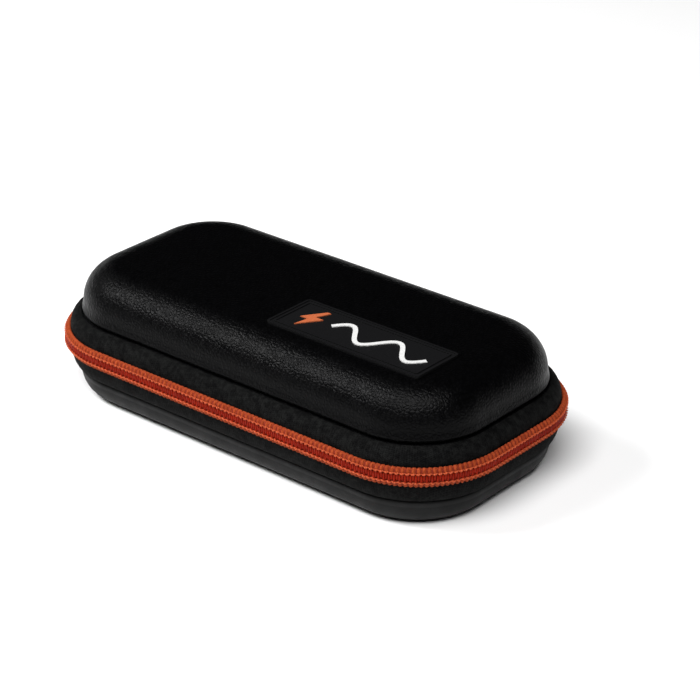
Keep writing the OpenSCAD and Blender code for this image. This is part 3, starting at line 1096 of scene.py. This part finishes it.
def dress_frame():
    for node, material, edge in (
        ("label_plate", LABEL, 0.18),
        ("label_border", LABEL, 0.12),
        ("label_emblem", EMBLEM, 0.1),
        ("label_wave", WAVE, 0.1),
        ("slider_body", METAL, 0.28),
        ("pull_tab", METAL, 0.16),
        ("lid_top_stop", STOP, 0.2),
        ("base_top_stop", STOP, 0.2),
        ("zip_bottom_stop", STOP, 0.2),
    ):
        piece = frame["nodes"][node]
        piece.data.materials.clear()
        piece.data.materials.append(material)
        bevel(piece, edge)


# --- Floor, lights and camera ---------------------------------------------------------------------------

FLOOR_REACH = 20000
ROOM_LIGHT = 0.012

# An area light's direction from the case, its distance, size and power, in metres and watts
LIGHTS = {
    "key": dict(direction=(-0.58, -0.46, 0.72), distance=0.9, size=(0.4, 0.26), power=6.5),
    "overhead": dict(direction=(0.3, -0.5, 1), distance=2.1, size=(1.9, 1.1), power=58),
    "left_end": dict(direction=(-1, 0.1, 0.5), distance=1.2, size=(0.5, 0.4), power=0.4),
}

# The camera's direction in degrees, its distance in metres, and its shifts as shares of the frame's width
CAMERA = dict(azimuth=40.7, elevation=26.4, distance=0.771, lens=127.7, shift_x=0.0606, shift_y=0.0103)


def make_floor():
    """A pale floor that glows further out, where the lights don't reach."""
    corners = [(-1, -1), (1, -1), (1, 1), (-1, 1)]
    floor = mesh_object("floor", [(x * FLOOR_REACH, y * FLOOR_REACH, 0) for x, y in corners], [[0, 1, 2, 3]])
    paint = Paint("pale_floor", 0.85, Specular_IOR_Level=0.1)
    paint.set("Base Color", (0.95, 0.95, 0.95, 1))
    paint.set("Emission Color", (1, 1, 1, 1))
    away = paint.node("ShaderNodeVectorMath", operation="LENGTH")
    paint.wire(paint.place, away.inputs[0])
    glow = paint.range(away.outputs["Value"], 0, 0.9, 0.6, 1.6)
    paint.wire(glow, paint.shader.inputs["Emission Strength"])
    floor.data.materials.append(paint.material)


def make_world():
    """A room that is white to look at and gives very little light."""
    world = bpy.data.worlds.new("studio")
    world.use_nodes = True
    tree = world.node_tree
    background = tree.nodes["Background"]
    background.inputs["Color"].default_value = (1, 1, 1, 1)
    ray = tree.nodes.new("ShaderNodeLightPath")
    strength = tree.nodes.new("ShaderNodeMapRange")
    strength.inputs["To Min"].default_value = ROOM_LIGHT
    tree.links.new(ray.outputs["Is Camera Ray"], strength.inputs["Value"])
    tree.links.new(strength.outputs[0], background.inputs["Strength"])
    bpy.context.scene.world = world


def make_light(name, direction, distance, size, power):
    light = bpy.data.lights.new(name, "AREA")
    light.shape = "RECTANGLE"
    light.size, light.size_y = size
    light.energy = power
    made = bpy.data.objects.new(name, light)
    toward = Vector(direction).normalized()
    made.location = Vector((0, 0, CAD_BOX[1].z / 2)) + toward * distance
    made.rotation_mode = "QUATERNION"
    made.rotation_quaternion = toward.to_track_quat("Z", "Y")
    bpy.context.scene.collection.objects.link(made)


def make_camera():
    """The photograph's view: a long lens from the front right, with the frame's centre a little off."""
    a, e = math.radians(CAMERA["azimuth"]), math.radians(CAMERA["elevation"])
    back = Vector((math.sin(a) * math.cos(e), -math.cos(a) * math.cos(e), math.sin(e)))
    data = bpy.data.cameras.new("camera")
    data.sensor_width = 36
    data.lens = CAMERA["lens"]
    data.shift_x = CAMERA["shift_x"]
    data.shift_y = CAMERA["shift_y"]
    camera = bpy.data.objects.new("camera", data)
    camera.rotation_mode = "QUATERNION"
    camera.rotation_quaternion = (-back).to_track_quat("-Z", "Y")
    camera.location = Vector((0, 0, CAD_BOX[1].z / 2)) + back * CAMERA["distance"]
    bpy.context.scene.collection.objects.link(camera)
    bpy.context.scene.camera = camera


def make_studio():
    make_floor()
    make_world()
    for name, light in LIGHTS.items():
        make_light(name, **light)
    make_camera()
    bpy.context.scene.view_settings.view_transform = "Standard"


make_studio()
make_mouldings()
make_tapes()
make_bindings()
make_chain()
make_hinge()
make_strap()
make_net()
make_bail()
make_grip()
dress_frame()
